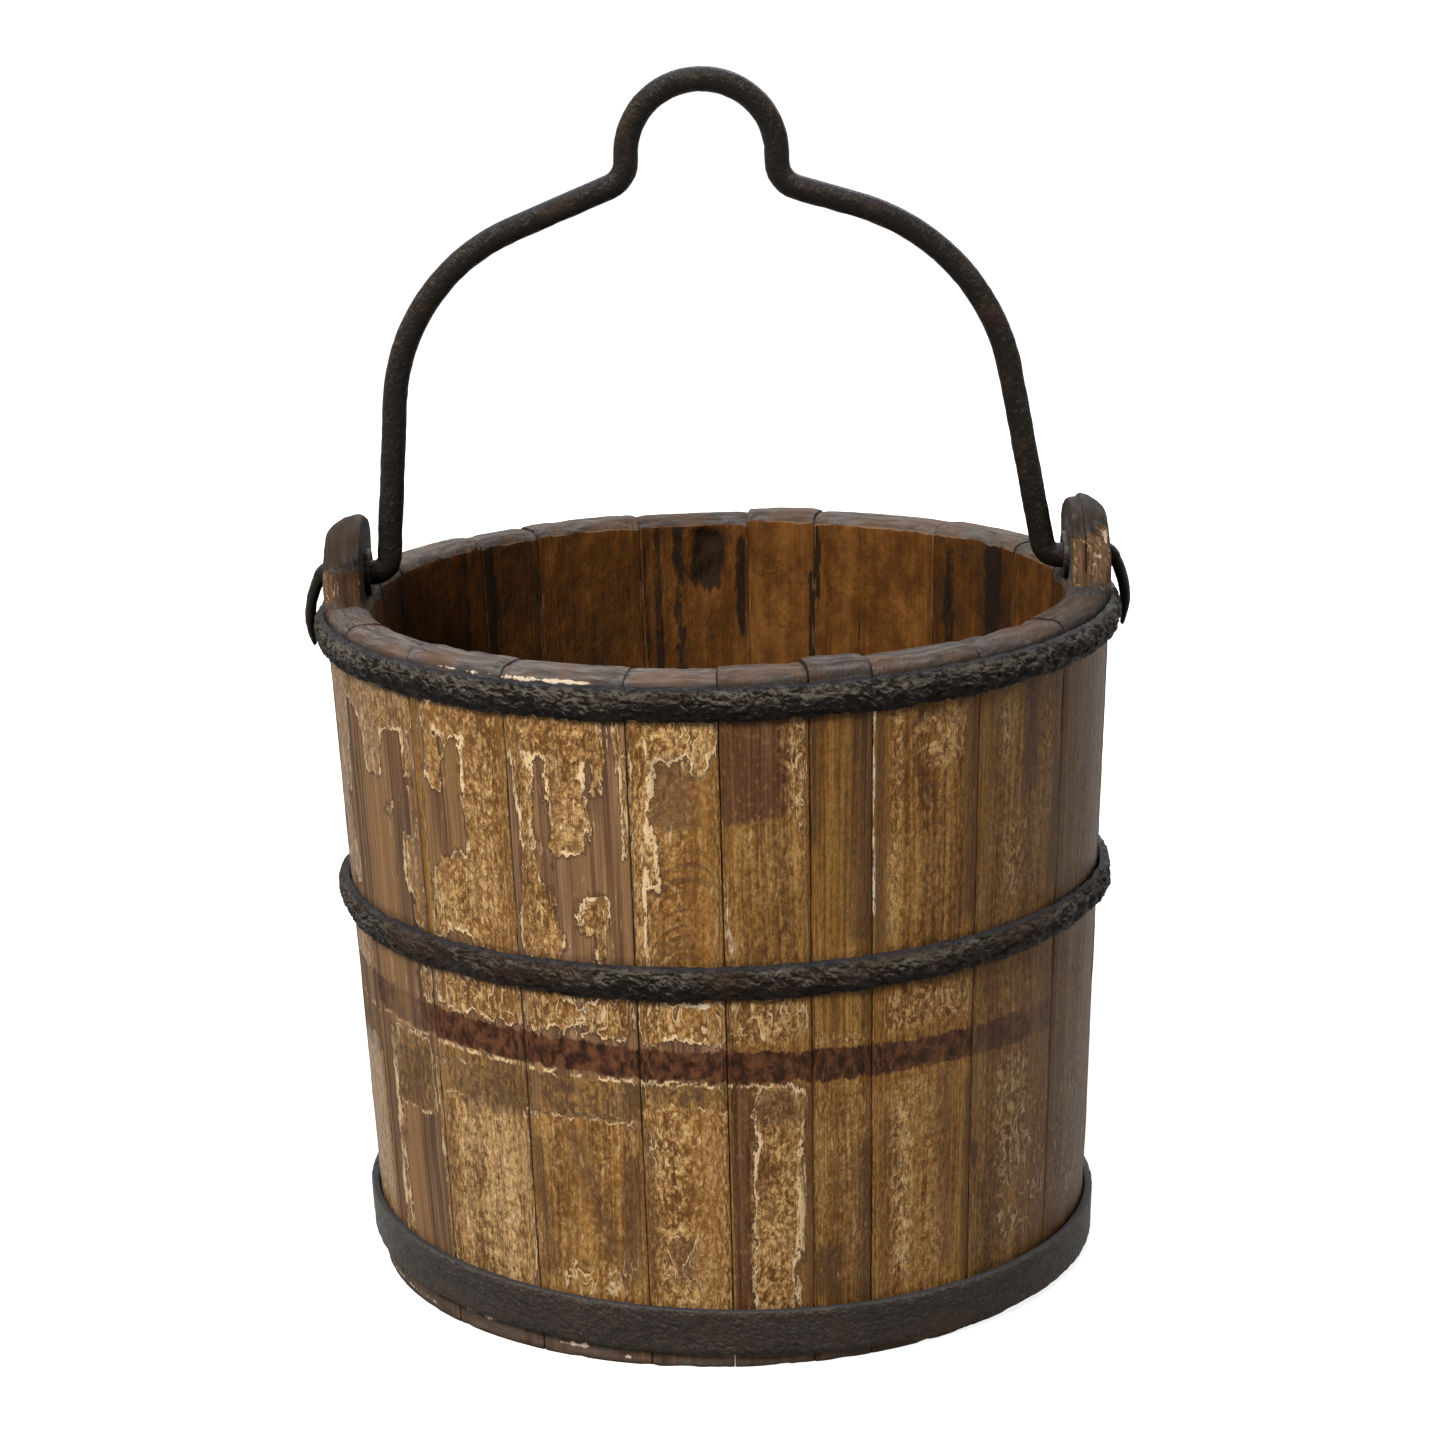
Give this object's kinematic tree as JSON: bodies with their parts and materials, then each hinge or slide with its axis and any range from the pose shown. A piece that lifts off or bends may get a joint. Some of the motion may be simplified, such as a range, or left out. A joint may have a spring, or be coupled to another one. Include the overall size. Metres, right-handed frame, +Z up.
{
  "type": "wooden stave bucket",
  "caption": "Tapered round wooden stave bucket with iron hoops, raised ears and a forged iron swing bail with a rope loop, for drawing and carrying water.",
  "frame": {"origin": "centre of the foot, on the surface that the bucket stands on", "axes": "+Z up along the bucket's axis, X along the bail's pivot line through both ears, front at -Y"},
  "size_m": [0.338, 0.3276, 0.4872],
  "materials": {
    "stave_wood": "old amber varnish flaking off weathered brown wood",
    "bottom_wood": "dark water-stained bare boards",
    "pin_wood": "plain split wood",
    "hoop_iron": "pitted black forged iron",
    "bail_iron": "dark brown oxidised forged iron"
  },
  "bodies": {
    "bucket": {"stave_01": "stave_wood", "stave_02": "stave_wood", "stave_03": "stave_wood", "stave_04": "stave_wood", "stave_05": "stave_wood", "stave_06": "stave_wood", "stave_07": "stave_wood", "stave_08": "stave_wood", "stave_09": "stave_wood", "stave_10": "stave_wood", "stave_11": "stave_wood", "stave_12": "stave_wood", "stave_13": "stave_wood", "stave_14": "stave_wood", "stave_15": "stave_wood", "stave_16": "stave_wood", "stave_17": "stave_wood", "stave_18": "stave_wood", "stave_19": "stave_wood", "ear_stave_left": "stave_wood", "ear_stave_right": "stave_wood", "hoop_top": "hoop_iron", "hoop_middle": "hoop_iron", "hoop_bottom": "hoop_iron", "bottom_board_left": "bottom_wood", "bottom_board_middle": "bottom_wood", "bottom_board_right": "bottom_wood", "stave_pins_upper": "pin_wood", "stave_pins_lower": "pin_wood", "bottom_dowels": "pin_wood", "ear_washer_left": "bail_iron", "ear_washer_right": "bail_iron"},
    "bail": {"bail": "bail_iron"}
  },
  "joints": [
    {"name": "bail_swing", "type": "hinge", "parent": "bucket", "child": "bail", "pos_m": [0, 0, 0.287], "axis": [1, 0, 0], "range_deg": [-90, 90]}
  ]
}
